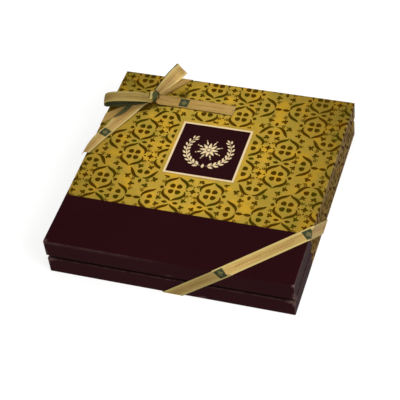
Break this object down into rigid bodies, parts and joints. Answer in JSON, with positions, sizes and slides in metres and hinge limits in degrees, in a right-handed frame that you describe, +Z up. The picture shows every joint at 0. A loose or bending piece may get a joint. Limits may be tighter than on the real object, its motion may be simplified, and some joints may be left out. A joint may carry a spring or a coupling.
{
  "type": "chocolate box",
  "caption": "Square shoulder-neck gift box with lift-off lid, ribbon and bow over two corners, and a tray of pralines under a cushion pad.",
  "frame": {"origin": "centre of the underside of the base", "axes": "+X to the right of the box seen from its plain front, +Y to its back, +Z up"},
  "size_m": [0.2179, 0.2114, 0.059],
  "materials": {
    "greyboard": "uncoated grey board",
    "printed_wrap": "satin gold printed paper, dark maroon front",
    "kraft_tape": "gummed tape",
    "dark_paper": "matt dark paper",
    "liner_paper": "matt paper",
    "label_card": "matt dark card with a cream border",
    "ribbon": "satin, gold outside and green inside",
    "pad_paper": "embossed padded paper",
    "tray_plastic": "thermoformed sheet",
    "dark_chocolate": "tempered chocolate",
    "milk_chocolate": "tempered chocolate",
    "white_chocolate": "tempered chocolate",
    "cocoa": "dusted",
    "nut": "roasted"
  },
  "bodies": {
    "base": {"base_board": "greyboard", "base_wrap": "printed_wrap", "base_corner_stays": "kraft_tape", "base_bottom_sheet": "dark_paper", "base_liner": "liner_paper", "neck_frame": "greyboard", "neck_wrap": "dark_paper", "ribbon_under_left": "ribbon", "ribbon_under_right": "ribbon"},
    "lid": {"lid_board": "greyboard", "lid_wrap": "printed_wrap", "lid_corner_stays": "kraft_tape", "lid_liner": "liner_paper", "lid_label": "label_card", "ribbon_front_strap": "ribbon", "ribbon_back_strap": "ribbon", "bow_left_loop": "ribbon", "bow_right_loop": "ribbon", "bow_left_tail": "ribbon", "bow_right_tail": "ribbon", "bow_knot": "ribbon"},
    "pad": {"cushion_pad": "pad_paper"},
    "tray": {"praline_tray": "tray_plastic", "praline_square": "dark_chocolate", "praline_dome": "milk_chocolate", "praline_log": "milk_chocolate", "praline_oval": "white_chocolate", "praline_cup": "dark_chocolate", "hazelnut_toppings": "nut", "praline_truffle": "cocoa"}
  },
  "joints": [
    {"name": "lid_lift", "type": "slide", "parent": "base", "child": "lid", "axis": [0, 0, 1], "range_m": [0, 0.16]},
    {"name": "pad_lift", "type": "slide", "parent": "base", "child": "pad", "axis": [0, 0, 1], "range_m": [0, 0.096]},
    {"name": "tray_lift", "type": "slide", "parent": "base", "child": "tray", "axis": [0, 0, 1], "range_m": [0, 0.04]}
  ],
  "couplings": [
    {"joint": "pad_lift", "follows": "lid_lift", "ratio": 0.6},
    {"joint": "tray_lift", "follows": "lid_lift", "ratio": 0.25}
  ]
}
